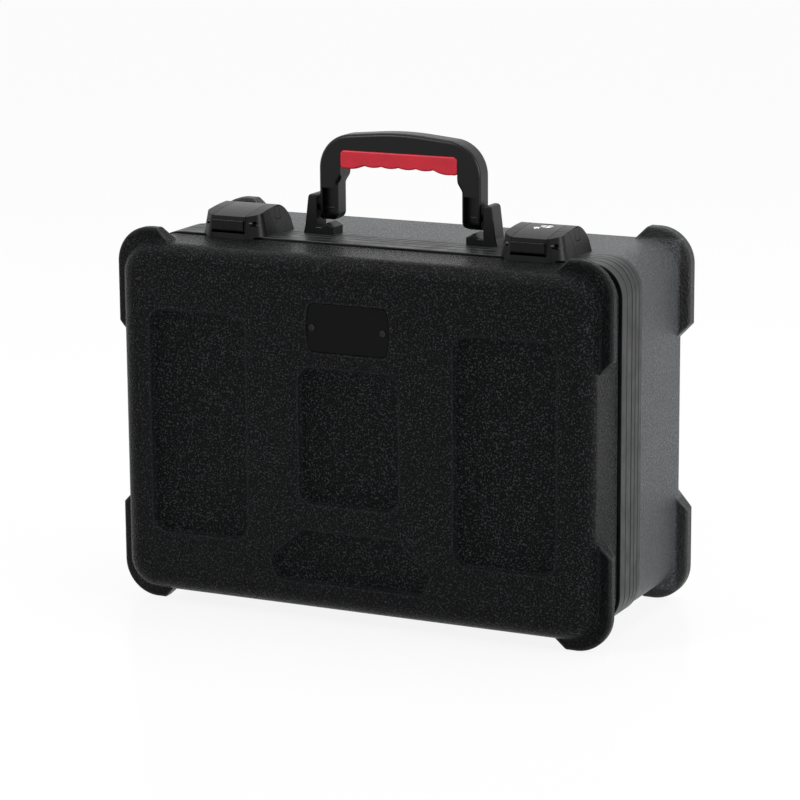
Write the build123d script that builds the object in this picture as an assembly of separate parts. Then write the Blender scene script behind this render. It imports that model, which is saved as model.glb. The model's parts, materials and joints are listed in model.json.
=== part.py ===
from build123d import *
from math import radians, tan
import os

# Carrying case for microphones: a lid tray and a deeper base tray joined by ribbed
# aluminium edges, hinged along the bottom, latched on top, with a folding handle.
# X is the width, Y runs from the lid's front to the base's rear, Z is up.
# The origin is under the middle of the case, on the surface it stands on.

# Overall sizes of the two moulded shells
case_width = 434.4
case_height = 303.4
corner_radius = 27.0
wall = 4.0
lid_depth = 56.3
base_depth = 103.8
front_fillet = 16.0
rear_fillet = 15.0

# Aluminium edges between the shells
rim_groove = 6.3
lid_band = 20.8
seam_gap = 1.2
base_band = 21.6
band_proud = 1.2
band_skin = 1.0
band_web = 2.4
rib_groove = 0.8
rib_depth = 0.9
rib_round = 0.6
tongue_length = 16.0
tongue_thickness = 1.5
fit_gap = 0.1
seal_tongue = 2.8
seal_tongue_thickness = 1.6
seal_tongue_inset = 1.8
seal_clearance = 0.5
gasket_thickness = 1.3
gasket_clearance = 0.4
band_slit = 0.3
joiner_length = 30.0
joiner_thickness = 1.5

# Corner bumpers moulded on the shells
bumper_out = 10.8
bumper_radius = 31.0
bumper_leg_up = 92.3
bumper_leg_across = 49.9
bumper_round = 2.6
crest_tolerance = 0.2
front_bumper_start = 17.2
front_bumper_width = 15.4
front_bumper_lead = 1.8
front_bumper_tail = 5.1
rear_bumper_start = 20.5
rear_bumper_face = 11.6
rear_bumper_lead = 1.6

# Recesses in the lid's front
recess_depth = 3.0
recess_round = 1.4
recess_corner = 13.0
side_recess_width = 90.6
side_recess_margin = 30.4
side_recess_rise = 55.1
middle_recess_width = 91.6
middle_recess_rise = 93.6
foot_recess_rise = 25.2
foot_recess_height = 45.0
foot_recess_top = 86.0
foot_recess_wide = 150.0
foot_recess_bottom = 134.0
foot_recess_knee = 17.0
foot_recess_corner = 6.0
plate_width = 75.0
plate_height = 40.3
plate_top_margin = 39.2
plate_bulge = 2.5
plate_corner = 5.0
plate_recess_depth = 2.0
plate_thickness = 1.0
plate_gap = 0.4
plate_screw_spacing = 65.0
plate_screw_radius = 1.5

# Rivets and screws
rivet_radius = 1.6
rivet_head_radius = 3.0
rivet_head = 1.0
rivet_bite = 2.8
bottom_rivet_offset = 104.0
side_rivet_share = 0.27
hole_gap = 0.05

# Bottom hinges
hinge_offset = 120.0
hinge_width = 62.0
knuckle_count = 5
knuckle_gap = 0.4
knuckle_radius = 3.0
hinge_pin_radius = 1.5
hinge_pin_gap = 0.05
hinge_drop = knuckle_radius + knuckle_gap
leaf_thickness = 1.4
leaf_length = 15.0
leaf_hole_spacing = 40.0

# Latches
latch_offset = 139.0
latch_height = 24.0
latch_width = 60.0
latch_taper = 11.0
latch_nose_width = 35.0
latch_front = 32.0
latch_shoulder = 22.0
latch_rear = 33.0
latch_split_top = 16.0
latch_split_gap = 0.4
latch_split_foot = 3.0
latch_split_bow = 3.4
latch_split_bow_rise = 14.0
latch_corner = 13.0
latch_flare = 6.0
latch_flare_height = 12.0
latch_nose_lean = 0.2
latch_brow_middle = (1.0, 1.6)
latch_brow_end = (3.6, 2.6)
latch_top_bulge = 1.2
latch_crown_ahead = 2.0
latch_tail_middle = (12.0, 6.4)
latch_tail_edge = 2.0
patch_width = 8.0
patch_height = 10.0
patch_line = 0.5
patch_behind = 9.0
patch_rise = 18.0
patch_depth = 2.8
tool_margin = 3.0
lever_width = 31.2
lever_side_gap = 0.4
lever_thickness = 2.6
lever_rear = 15.8
lever_pivot_back = 6.2
lever_pivot_rise = 12.6
lever_nose_rise = 6.4
lever_nose_height = 9.6
lever_sweep = 9.3
lever_belly_start = 5.0
lever_belly_back = 6.5
lever_belly_drop = 1.2
lever_belly_rise = 15.4
lever_hollow_gap = 0.5
lever_hollow_start = 11.0
lever_rear_wall = 0.8
lever_pin_radius = 2.0
pin_gap = 0.05
cheek_bore_radius = 2.6
cover_thickness = 1.2
cover_inset = 0.6
cover_rise = 0.3
cover_height = 8.9
cover_round = 0.5
claw_width = 20.8
claw_arm = 1.8
claw_pin_ahead = 6.0
claw_pin_rise = 14.4
claw_pin_radius = 1.6
claw_boss = 3.2
claw_tooth = 2.4
claw_tooth_step = 0.6
claw_tooth_height = 4.6
claw_hook_gap = 0.5
claw_bridge = 0.4
strike_radius = 2.2
strike_behind = 10.4
strike_rise = 6.4
tooth_clearance = 0.4
spring_wire = 0.8
spring_turns = 3
latch_rivet_spread = 44.0

# Lock in the right lever
lock_face_radius = 5.8
lock_body_radius = 5.0
lock_body_length = 7.4
lock_sink = 0.4
lock_face_thickness = 1.2
lock_edge = 0.4
lock_aside = 1.5
lock_behind = 5.4
lock_gap = 0.05
key_slot_length = 5.0
key_slot_width = 1.2
key_slot_depth = 4.0
cam_length = 6.2
cam_width = 5.0
cam_thickness = 1.4
indicator_radius = 2.9
indicator_aside = -4.6
indicator_ahead = 2.6
indicator_floor = 3.2
indicator_thickness = 2.6

# Handle
handle_behind = 24.7
handle_thickness = 19.8
handle_half_width = 75.2
handle_leg = 17.2
handle_crown = 92.0
handle_crown_round = 260.0
handle_shoulder = 85.0
handle_shoulder_round = 30.0
handle_elbow = 64.0
handle_bend_round = 6.0
handle_under = 61.8
handle_knee = 45.0
handle_knee_inset = 10.5
handle_pivot_rise = 22.8
handle_foot_round = 9.9
handle_sole_extra = 0.4
handle_foot_corner = 7.0
handle_round = 3.4
pocket_width = 11.4
pocket_bottom = 18.6
pocket_top = 41.2
pocket_depth = 7.0
pocket_inset = 2.6
grip_half_length = 54.5
grip_height = 15.0
grip_proud = 0.7
grip_lobes = 6
grip_lobe_depth = 1.3
grip_cusp_round = 2.5
grip_wall_gap = 0.1
grip_round = 1.6
grip_corner = 3.9
grip_top_drop = 2.4
grip_end_width = 6.0
grip_end_drop = 3.2
grip_end_round = 2.8
grip_pocket_drop = 12.0
handle_pin_radius = 3.0
handle_pin_reach = 12.0
handle_pin_end_gap = 0.5
handle_pin_inset = 1.0

# Handle brackets
bracket_depth = 19.2
bracket_gap = 2.6
bracket_top_rise = 34.8
bracket_top_width = 8.0
bracket_base_width = 13.4
bracket_foot_reach = 62.0
bracket_foot_height = 5.8
bracket_lip = 3.4
bracket_lip_crest = 6.5
bracket_lip_end = 11.5
bracket_skirt_inset = 2.0
bracket_skirt_rise = 7.0
bracket_crown_round = 3.4
bracket_round = 1.4
screw_radius = 2.5
screw_head_radius = 4.5
screw_head = 2.5
screw_bite = 7.0
screw_tip_gap = 0.3
screw_drive_radius = 1.7
screw_drive_depth = 1.4
screw_behind = 28.0
screw_inner = 68.0
screw_outer = 84.0
plate_stock = 1.5
backing_margin = 7.0
backing_corner = 3.0

# Foam inside
foam_side_gap = 0.5
lid_foam_thickness = 22.0
base_foam_front = 12.0
liner_thickness = 5.0
drop_columns = 5
drop_rows = 3
drop_radius = 22.0
drop_edge = 13.0
drop_depth = 95.0
foam_gap = 0.3

# Planes and levels that the pieces share
total_depth = lid_depth + rim_groove + lid_band + seam_gap + base_band + base_depth
y_front = -total_depth / 2
y_lid_rim = y_front + lid_depth
y_band_front = y_lid_rim + rim_groove
y_seam_lid = y_band_front + lid_band
y_seam = y_seam_lid + seam_gap / 2
y_seam_base = y_seam_lid + seam_gap
y_base_rim = y_seam_base + base_band
y_rear = y_base_rim + base_depth
z_bottom = bumper_out
z_top = z_bottom + case_height
z_middle = (z_bottom + z_top) / 2
z_band_top = z_top + band_proud
z_band_bottom = z_bottom - band_proud
tongue_outer = wall + fit_gap
tongue_inner = tongue_outer + tongue_thickness


def front_plane(y):
    """Plane facing the lid's front at depth y, with local axes world X and Z."""
    return Plane(origin=(0, y, 0), x_dir=(1, 0, 0), z_dir=(0, -1, 0))


def side_plane(x):
    """Plane across the width at x, with local axes world Y and Z."""
    return Plane(origin=(x, 0, 0), x_dir=(0, 1, 0), z_dir=(1, 0, 0))


def slab(sketch, y_low, y_high):
    """A front-view outline drawn in X and Z, filled from y_low to y_high."""
    return extrude(front_plane(y_high) * sketch, amount=y_high - y_low)


def side_slab(sketch, x_low, x_high):
    """A side-view outline drawn in Y and Z, filled from x_low to x_high."""
    return extrude(side_plane(x_low) * sketch, amount=x_high - x_low)


def block(x_low, x_high, y_low, y_high, z_low, z_high):
    """A plain box between two corners."""
    centre = Pos((x_low + x_high) / 2, (y_low + y_high) / 2, (z_low + z_high) / 2)
    return centre * Box(x_high - x_low, y_high - y_low, z_high - z_low)


def rod(start, direction, radius, length):
    """A round bar from a point along a direction."""
    place = Plane(origin=start, z_dir=direction)
    return extrude(place * Circle(radius), amount=length)


def case_outline(offset, radius=None):
    """The case's rounded front outline, moved out by an offset."""
    corner = corner_radius + offset if radius is None else radius
    shape = RectangleRounded(case_width + 2 * offset, case_height + 2 * offset, corner)
    return Pos(0, z_middle) * shape


def case_slab(offset, y_low, y_high):
    """The case's outline, moved out by an offset, filled between two depths."""
    return slab(case_outline(offset), y_low, y_high)


def end_edges(solid, last):
    """The edges round a solid's front face, or its rear face."""
    return solid.faces().sort_by(Axis.Y)[-1 if last else 0].edges()


def mirrored(solid):
    """The same solid on the other side of the middle."""
    return mirror(solid, about=Plane.YZ)


def rivet(seat, direction, grip):
    """A rivet whose head sits inside and whose shank runs outward through grip."""
    shank = rod(seat, direction, rivet_radius, grip)
    back = Vector(*seat) - Vector(*direction) * rivet_head
    head = rod(back, direction, rivet_head_radius, rivet_head)
    return head + shank


def rivet_hole(seat, direction, grip):
    """Clearance hole for one rivet's shank."""
    return rod(seat, direction, rivet_radius + hole_gap, grip + hole_gap)


# Corner bumpers


def bumper_mask(y_low, y_high):
    """Prism that keeps the top right corner, with its two ends cut at 45 degrees."""
    side = case_width / 2
    leg_x = side + bumper_out - bumper_leg_across
    leg_z = z_top + bumper_out - bumper_leg_up
    reach = 4 * bumper_out
    deep = corner_radius
    far_x = side + reach
    far_z = z_top + reach
    corners = [
        (leg_x - deep, z_top - deep),
        (leg_x + reach, far_z),
        (far_x, far_z),
        (far_x, leg_z + reach),
        (side - deep, leg_z - deep),
    ]
    return slab(make_face(Polyline(corners, close=True)), y_low, y_high)


def corner_bumper(sections):
    """One corner rib from sections that pair a depth with an outward offset."""
    faces = []
    for depth, out, radius in sections:
        faces.append(front_plane(depth) * case_outline(out, radius))
    ring = loft(faces, ruled=True)
    depths = [depth for depth, out, radius in sections]
    rib = ring & bumper_mask(min(depths) - 1, max(depths) + 1)
    crest = [edge for edge in rib.edges() if all(on_crest(edge @ share) for share in (0, 0.5, 1))]
    return fillet(crest, bumper_round)


def on_crest(point):
    """True where a point lies on the outermost skin of a bumper."""
    side = case_width / 2 + bumper_out - bumper_radius
    height = case_height / 2 + bumper_out - bumper_radius
    dx = max(abs(point.X) - side, 0)
    dz = max(abs(point.Z - z_middle) - height, 0)
    reach = (dx * dx + dz * dz) ** 0.5
    return abs(reach - bumper_radius) < crest_tolerance


def four_corners(rib):
    """A corner rib and its mirror images at the other three corners."""
    upper = rib + mirrored(rib)
    middle = Plane(origin=(0, 0, z_middle), z_dir=(0, 0, 1))
    return upper + mirror(upper, about=middle)


def front_bumpers():
    """The four ribs of the lid."""
    start = y_front + front_bumper_start
    end = start + front_bumper_width
    sink = wall / 2
    lead = front_bumper_lead * sink / bumper_out
    tail = front_bumper_tail * sink / bumper_out
    sections = [
        (start - lead, -sink, corner_radius - sink),
        (start + front_bumper_lead, bumper_out, bumper_radius),
        (end - front_bumper_tail, bumper_out, bumper_radius),
        (end + tail, -sink, corner_radius - sink),
    ]
    return four_corners(corner_bumper(sections))


def rear_bumpers():
    """The four ribs of the base, whose rear slopes land on the rear fillet."""
    start = y_rear - rear_bumper_start
    crest = start + rear_bumper_lead
    sink = wall / 2
    lead = rear_bumper_lead * sink / bumper_out
    inset = rear_fillet * 0.75
    sections = [
        (start - lead, -sink, corner_radius - sink),
        (crest, bumper_out, bumper_radius),
        (crest + rear_bumper_face, bumper_out, bumper_radius),
        (y_rear - wall / 2, -inset, corner_radius - inset),
    ]
    return four_corners(corner_bumper(sections))


# Lid shell


def side_recess():
    """Tall recess on the right of the lid's front."""
    height = case_height - 2 * side_recess_rise
    x = case_width / 2 - side_recess_margin - side_recess_width / 2
    return Pos(x, z_middle) * RectangleRounded(side_recess_width, height, recess_corner)


def middle_recess():
    """Recess below the name plate."""
    height = case_height - 2 * middle_recess_rise
    return Pos(0, z_middle) * RectangleRounded(middle_recess_width, height, recess_corner)


def foot_recess():
    """Six-sided recess near the bottom."""
    low = z_bottom + foot_recess_rise
    corners = [
        (-foot_recess_bottom / 2, low),
        (-foot_recess_wide / 2, low + foot_recess_knee),
        (-foot_recess_top / 2, low + foot_recess_height),
        (foot_recess_top / 2, low + foot_recess_height),
        (foot_recess_wide / 2, low + foot_recess_knee),
        (foot_recess_bottom / 2, low),
    ]
    shape = make_face(Polyline(corners, close=True))
    return fillet(shape.vertices(), foot_recess_corner)


def plate_outline(grow):
    """Name plate outline: flat top and bottom, bulging sides."""
    half = plate_width / 2 - plate_bulge + grow
    tall = plate_height / 2 + grow
    z = z_top - plate_top_margin - plate_height / 2
    lines = [
        Line((-half, tall), (half, tall)),
        ThreePointArc((half, tall), (half + plate_bulge, 0), (half, -tall)),
        Line((half, -tall), (-half, -tall)),
        ThreePointArc((-half, -tall), (-half - plate_bulge, 0), (-half, tall)),
    ]
    shape = make_face(Curve() + lines)
    return Pos(0, z) * fillet(shape.vertices(), plate_corner + grow)


def recess_tool(sketch, depth, floor_round):
    """A recess to cut, rounded where its floor meets its sides."""
    tool = slab(sketch, y_front - depth, y_front + depth)
    return fillet(end_edges(tool, True), floor_round)


def lid_recesses():
    """Each recess outline with its depth and the rounding of its floor."""
    right = side_recess()
    left = mirror(right, about=Plane.YZ)
    shapes = (right, left, middle_recess(), foot_recess())
    recesses = [(shape, recess_depth, recess_round) for shape in shapes]
    recesses.append((plate_outline(plate_gap), plate_recess_depth, plate_gap * 0.75))
    return recesses


def band_rivet_seats(y):
    """Places where an edge's tongue is riveted, each with its outward direction."""
    reach_x = case_width / 2 - tongue_inner
    reach_z = case_height / 2 - tongue_inner
    seats = []
    for side in (-1, 1):
        for share in (-side_rivet_share, side_rivet_share):
            z = z_middle + share * case_height
            seats.append(((side * reach_x, y, z), (side, 0, 0)))
        for x in (-bottom_rivet_offset, bottom_rivet_offset):
            seats.append(((x, y, z_middle + side * reach_z), (0, 0, side)))
    return seats


def band_rivets(y):
    """Rivets of one edge and the holes they need."""
    grip = tongue_thickness + fit_gap + rivet_bite
    rivets = []
    holes = []
    for seat, direction in band_rivet_seats(y):
        rivets.append(rivet(seat, direction, grip))
        holes.append(rivet_hole(seat, direction, grip))
    return rivets, holes


def lid_shell():
    """Moulded lid tray."""
    body = case_slab(0, y_front, y_lid_rim)
    body = fillet(end_edges(body, False), front_fillet)
    body += front_bumpers()
    cavity = case_slab(-wall, y_front + wall, y_lid_rim + 1)
    cavity = fillet(end_edges(cavity, False), front_fillet - wall)
    for sketch, depth, floor_round in lid_recesses():
        cavity -= slab(offset(sketch, amount=wall), y_front, y_front + wall + depth)
    body -= cavity
    for sketch, depth, floor_round in lid_recesses():
        body -= recess_tool(sketch, depth, floor_round)
    rims = body.faces().filter_by(Axis.Y).sort_by(Axis.Y)[0].inner_wires()
    rim_edges = []
    for rim in rims:
        rim_edges += rim.edges()
    body = fillet(rim_edges, recess_round - 0.2)
    for screw in plate_screw_points():
        body -= rod(screw, (0, 1, 0), plate_screw_radius + hole_gap, wall - 1)
    for hole in band_rivets(y_lid_rim - tongue_length / 2)[1]:
        body -= hole
    return body


def base_shell():
    """Moulded base tray."""
    body = case_slab(0, y_base_rim, y_rear)
    body = fillet(end_edges(body, True), rear_fillet)
    body += rear_bumpers()
    cavity = case_slab(-wall, y_base_rim - 1, y_rear - wall)
    body -= fillet(end_edges(cavity, True), rear_fillet - wall)
    for hole in band_rivets(y_base_rim + tongue_length / 2)[1]:
        body -= hole
    for x, y in bracket_screw_points():
        body -= rod((x, y, z_top - 2 * wall), (0, 0, 1), screw_radius + hole_gap, 3 * wall)
    for x, y in keeper_rivet_points():
        body -= rod((x, y, z_top - 2 * wall), (0, 0, 1), rivet_radius + hole_gap, 3 * wall)
    return body


# Name plate


def plate_screw_points():
    """Two screw places at the plate's mid height, on the recess floor."""
    z = z_top - plate_top_margin - plate_height / 2
    y = y_front + plate_recess_depth
    return [(side * plate_screw_spacing / 2, y, z) for side in (-1, 1)]


def name_plate():
    """Bare plate lying in its recess."""
    floor = y_front + plate_recess_depth
    plate = slab(plate_outline(0), floor - plate_thickness, floor)
    plate = fillet(end_edges(plate, False), plate_thickness / 3)
    for x, y, z in plate_screw_points():
        plate -= rod((x, floor - 2 * plate_thickness, z), (0, 1, 0),
                     plate_screw_radius + hole_gap, 3 * plate_thickness)
    return plate


def name_plate_screws():
    """Pan-head screws with a cross slot."""
    screws = []
    face = y_front + plate_recess_depth - plate_thickness
    for x, y, z in plate_screw_points():
        shank = rod((x, face, z), (0, 1, 0), plate_screw_radius, plate_thickness + wall - 1.5)
        head = rod((x, face - plate_thickness, z), (0, 1, 0), 1.8 * plate_screw_radius, plate_thickness)
        head = fillet(end_edges(head, False), plate_thickness / 2)
        slot = 2.2 * plate_screw_radius
        cross = Pos(x, face - plate_thickness, z) * Box(slot, plate_thickness, slot / 4)
        screws.append(head + shank - cross - cross.rotate(Axis((x, 0, z), (0, 1, 0)), 90))
    return screws


# Ribbed aluminium edges


def ribbed_ring(y_low, y_high, ribs):
    """Solid ribbed band between two depths, cut into equal rounded ribs."""
    core = case_slab(band_proud - rib_depth, y_low, y_high)
    width = (y_high - y_low - (ribs - 1) * rib_groove) / ribs
    for index in range(ribs):
        start = y_low + index * (width + rib_groove)
        rib = case_slab(band_proud, start, start + width)
        rib = fillet(end_edges(rib, False) + end_edges(rib, True), rib_round)
        core += rib
    return core


def lid_valance():
    """Edge of the lid: tongue inside the shell, ribbed band, groove for the seal."""
    ring = ribbed_ring(y_band_front, y_seam_lid, 2)
    ring += case_slab(-tongue_outer, y_lid_rim - tongue_length, y_band_front)
    web = seal_tongue + gasket_thickness + gasket_clearance
    ring -= case_slab(-tongue_inner, y_lid_rim - tongue_length - 1, y_seam_lid + 1)
    ring -= case_slab(-band_skin, y_band_front + band_web, y_seam_lid - web)
    ring -= seal_groove()
    for hole in band_rivets(y_lid_rim - tongue_length / 2)[1]:
        ring -= hole
    for hole in housing_rivet_holes() + hinge_rivet_holes(-1):
        ring -= hole
    return ring - band_gap()


def seal_groove():
    """Groove round the lid's edge that takes the gasket and the base's lip."""
    shallow = seal_tongue_inset - seal_clearance
    deep = seal_tongue_inset + seal_tongue_thickness + seal_clearance
    depth = y_seam_lid + seam_gap - seal_tongue - gasket_clearance - gasket_thickness
    return case_slab(-shallow, depth, y_seam_lid + 1) - case_slab(-deep, depth - 1, y_seam_lid + 2)


def gasket():
    """Rubber seal at the bottom of the groove."""
    tip = y_seam_base - seal_tongue - gasket_clearance
    shallow = seal_tongue_inset - seal_clearance + fit_gap
    deep = seal_tongue_inset + seal_tongue_thickness + seal_clearance - fit_gap
    start = tip - gasket_thickness
    return case_slab(-shallow, start, tip) - case_slab(-deep, start - 1, tip + 1)


def base_valance():
    """Edge of the base: ribbed band, sealing lip, tongue inside the shell."""
    ring = ribbed_ring(y_seam_base, y_base_rim, 3)
    ring += case_slab(-tongue_outer, y_base_rim, y_base_rim + tongue_length)
    ring -= case_slab(-tongue_inner, y_seam_base - 1, y_base_rim + tongue_length + 1)
    ring -= case_slab(-band_skin, y_seam_base + band_web, y_base_rim - band_web)
    lip = case_slab(-seal_tongue_inset, y_seam_base - seal_tongue, y_seam_base)
    lip_inner = seal_tongue_inset + seal_tongue_thickness
    ring += lip - case_slab(-lip_inner, y_seam_base - seal_tongue - 1, y_seam_base)
    for hole in band_rivets(y_base_rim + tongue_length / 2)[1]:
        ring -= hole
    for x, y in bracket_screw_points():
        ring -= rod((x, y, z_top - 3 * wall), (0, 0, 1), screw_radius + hole_gap, 4 * wall)
    for x, y in keeper_rivet_points():
        ring -= rod((x, y, z_top - 3 * wall), (0, 0, 1), rivet_radius + hole_gap, 4 * wall)
    for hole in hinge_rivet_holes(1):
        ring -= hole
    return ring - band_gap()


def band_gap():
    """Narrow gap at the bottom where the bent extrusion's ends meet."""
    return block(-band_slit / 2, band_slit / 2, y_front, y_rear,
                 z_band_bottom - 1, z_bottom + 3 * wall)


def joiner(y_low, y_high):
    """Plate inside the channel that bridges the extrusion's two ends."""
    low = z_bottom + band_skin
    plate = block(-joiner_length / 2, joiner_length / 2, y_low, y_high, low, low + joiner_thickness)
    return fillet(plate.edges().filter_by(Axis.Z), joiner_thickness)


def lid_joiner():
    """Joiner of the lid's edge."""
    web = seal_tongue + gasket_thickness + gasket_clearance
    return joiner(y_band_front + band_web + fit_gap, y_seam_lid - web - fit_gap)


def base_joiner():
    """Joiner of the base's edge."""
    return joiner(y_seam_base + band_web + fit_gap, y_base_rim - band_web - fit_gap)


# Bottom hinges


hinge_z = z_band_bottom - hinge_drop
hinge_pitch = hinge_width / knuckle_count


def knuckle_span(index):
    """Start and end of one knuckle along X, measured from the hinge's middle."""
    start = -hinge_width / 2 + index * hinge_pitch
    return start + knuckle_gap / 2, start + hinge_pitch - knuckle_gap / 2


def hinge_leaf(side, centre):
    """Leaf on the lid with side -1, or on the base with side 1."""
    near = seam_gap / 2
    far = near + leaf_length
    top = z_band_bottom
    low = top - leaf_thickness
    ys = sorted((y_seam + side * near, y_seam + side * far))
    leaf = block(centre - hinge_width / 2, centre + hinge_width / 2, ys[0], ys[1], low, top)
    reach = knuckle_radius + knuckle_gap
    for index in range(knuckle_count):
        start, end = knuckle_span(index)
        own = (index % 2 == 0) == (side > 0)
        if own:
            leaf += rod((centre + start, y_seam, hinge_z), (1, 0, 0), knuckle_radius, end - start)
        else:
            gap = knuckle_gap
            leaf -= block(centre + start - gap, centre + end + gap,
                          y_seam - reach, y_seam + reach, low - 1, top + 1)
    bore = hinge_pin_radius + hinge_pin_gap
    leaf -= rod((centre - hinge_width, y_seam, hinge_z), (1, 0, 0), bore, 2 * hinge_width)
    for x, y in leaf_rivet_points(side, centre):
        leaf -= rod((x, y, low - 1), (0, 0, 1), rivet_radius + hole_gap, leaf_thickness + 2)
    return leaf


def leaf_rivet_points(side, centre):
    """Rivet places of one leaf, along X and Y."""
    y = y_seam + side * (seam_gap / 2 + leaf_length * 0.62)
    return [(centre - leaf_hole_spacing / 2, y), (centre + leaf_hole_spacing / 2, y)]


def hinge_rivet_holes(side):
    """Holes for the leaf rivets through one edge's outer skin."""
    holes = []
    for centre in (-hinge_offset, hinge_offset):
        for x, y in leaf_rivet_points(side, centre):
            holes.append(rod((x, y, z_band_bottom - 1), (0, 0, 1), rivet_radius + hole_gap, wall))
    return holes


def hinge_rivets(side):
    """Rivets with a head under the leaf and a closing head inside the channel."""
    rivets = []
    low = z_band_bottom - leaf_thickness
    grip = leaf_thickness + band_proud + band_skin
    for centre in (-hinge_offset, hinge_offset):
        for x, y in leaf_rivet_points(side, centre):
            pin = rivet((x, y, low), (0, 0, 1), grip)
            pin += rod((x, y, low + grip), (0, 0, 1), 0.8 * rivet_head_radius, rivet_head)
            rivets.append(pin)
    return rivets


def hinge_pin(centre):
    """Pin through all five knuckles, a little longer than the hinge."""
    length = hinge_width + 2 * knuckle_gap
    return rod((centre - length / 2, y_seam, hinge_z), (1, 0, 0), hinge_pin_radius, length)


# Latches, drawn about their own middle and then moved to either side


y_nose = y_seam - latch_front
y_latch_rear = y_seam + latch_rear
y_pivot = y_nose + lever_pivot_back
z_pivot = z_top + lever_pivot_rise
y_lever_end = y_seam + lever_rear
y_claw_pin = y_seam - claw_pin_ahead
z_claw_pin = z_top + claw_pin_rise
y_strike = y_seam + strike_behind
z_strike = z_top + strike_rise
z_tooth = z_strike + strike_radius + tooth_clearance


def latch_block():
    """Whole flared outside of a latch, before it is split and hollowed."""
    nose = latch_nose_width / 2
    half = latch_width / 2
    corners = [
        (-nose, y_nose),
        (nose, y_nose),
        (half, y_seam - latch_shoulder),
        (half, y_latch_rear),
        (-half, y_latch_rear),
        (-half, y_seam - latch_shoulder),
    ]
    base = make_face(Polyline(corners, close=True))
    base = fillet(base.vertices().sort_by(Axis.Y)[0:4], latch_corner)
    flared = extrude(Pos(0, 0, z_top) * base, amount=latch_height + tool_margin, taper=latch_taper)
    return flared & side_slab(latch_profile(0), -half, half)


def latch_profile(drop):
    """Side view of the latch: upright nose, gently rising top, sloping tail."""
    nose_top = z_top + lever_nose_rise + lever_nose_height - drop
    crown = z_top + latch_height - drop
    y_crown = y_lever_end - latch_crown_ahead
    foot = (y_nose - latch_flare, z_top)
    flare = (y_nose - latch_flare, nose_top - latch_flare_height)
    nose = (y_nose - latch_nose_lean + drop, nose_top)
    brow_middle = (y_nose + drop + latch_brow_middle[0], nose_top + latch_brow_middle[1])
    brow = (y_nose + drop + latch_brow_end[0], nose_top + latch_brow_end[1])
    top_middle = ((brow[0] - drop + y_crown) / 2, (brow[1] + crown) / 2 + latch_top_bulge)
    tail_middle = (y_crown + latch_tail_middle[0], crown - latch_tail_middle[1])
    tail = (y_latch_rear, z_top + latch_tail_edge)
    lines = [
        Line(foot, flare),
        Line(flare, nose),
        ThreePointArc(nose, brow_middle, brow),
        ThreePointArc(brow, top_middle, (y_crown, crown)),
        ThreePointArc((y_crown, crown), tail_middle, tail),
        Line(tail, (y_latch_rear, z_top)),
        Line((y_latch_rear, z_top), foot),
    ]
    return make_face(Curve() + lines)


def split_tool(gap):
    """Everything in front of the curved parting line between lid and base parts."""
    front = y_nose - latch_flare - tool_margin
    low_y = y_seam - gap
    high_y = y_seam - latch_split_top - gap
    low = z_top - tool_margin
    foot = z_top + latch_split_foot
    top = z_top + latch_height + 2 * tool_margin
    lines = [
        Line((front, low), (low_y, low)),
        Line((low_y, low), (low_y, foot)),
        ThreePointArc((low_y, foot), (low_y - latch_split_bow, z_top + latch_split_bow_rise), (high_y, top)),
        Line((high_y, top), (front, top)),
        Line((front, top), (front, low)),
    ]
    return side_slab(make_face(Curve() + lines), -latch_width, latch_width)


def lever_slot():
    """Space that the lever needs, with room for its nose to swing."""
    half = lever_width / 2 + lever_side_gap
    floor = z_pivot - lever_sweep
    slot = rod((-half, y_pivot, z_pivot), (1, 0, 0), lever_sweep + lever_side_gap, 2 * half)
    slot += block(-half, half, y_pivot, y_lever_end + lever_side_gap, floor, z_top + 2 * latch_height)
    slot += block(-half, half, y_nose - latch_flare, y_pivot, z_top + lever_nose_rise,
                  z_top + 2 * latch_height)
    return slot


def housing_rivet_points(side):
    """Rivets that hold the latch housing to the lid's edge."""
    y = (y_band_front + y_seam_lid) / 2 - 1
    centre = side * latch_offset
    return [(centre - latch_rivet_spread / 2, y), (centre + latch_rivet_spread / 2, y)]


def housing_rivet_holes():
    """Holes for the housing rivets through the lid edge's outer skin."""
    holes = []
    for side in (-1, 1):
        for x, y in housing_rivet_points(side):
            holes.append(rod((x, y, z_top - band_skin - 1), (0, 0, 1), rivet_radius + hole_gap, wall))
    return holes


def keeper_rivet_points():
    """Rivets that hold the keepers to the base shell."""
    y = y_base_rim + 4
    points = []
    for side in (-1, 1):
        for across in (-1, 1):
            points.append((side * latch_offset + across * latch_rivet_spread / 2, y))
    return points


def latch_seat(y_shell_low, y_shell_high):
    """What is cut away under a latch where the proud edge band passes."""
    return block(-latch_width, latch_width, y_shell_low, y_shell_high, z_top - 1, z_band_top)


def latch_housing(side):
    """Lid part of the latch: flared skirt and two cheeks."""
    body = latch_block()
    body = body & split_tool(latch_split_gap / 2)
    body -= lever_slot()
    body -= latch_seat(y_lid_rim, y_latch_rear)
    bore = lever_pin_radius + pin_gap
    body -= rod((-latch_width, y_pivot, z_pivot), (1, 0, 0), bore, 2 * latch_width)
    mouth = lever_width / 2 + lever_side_gap + 6
    for end in (-1, 1):
        body -= rod((end * mouth, y_pivot, z_pivot), (end, 0, 0), cheek_bore_radius, latch_width)
    body = Pos(side * latch_offset, 0, 0) * body
    for x, y in housing_rivet_points(side):
        body -= rod((x, y, z_top), (0, 0, 1), rivet_radius + hole_gap, band_proud + rivet_bite + 1)
    return body


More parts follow.
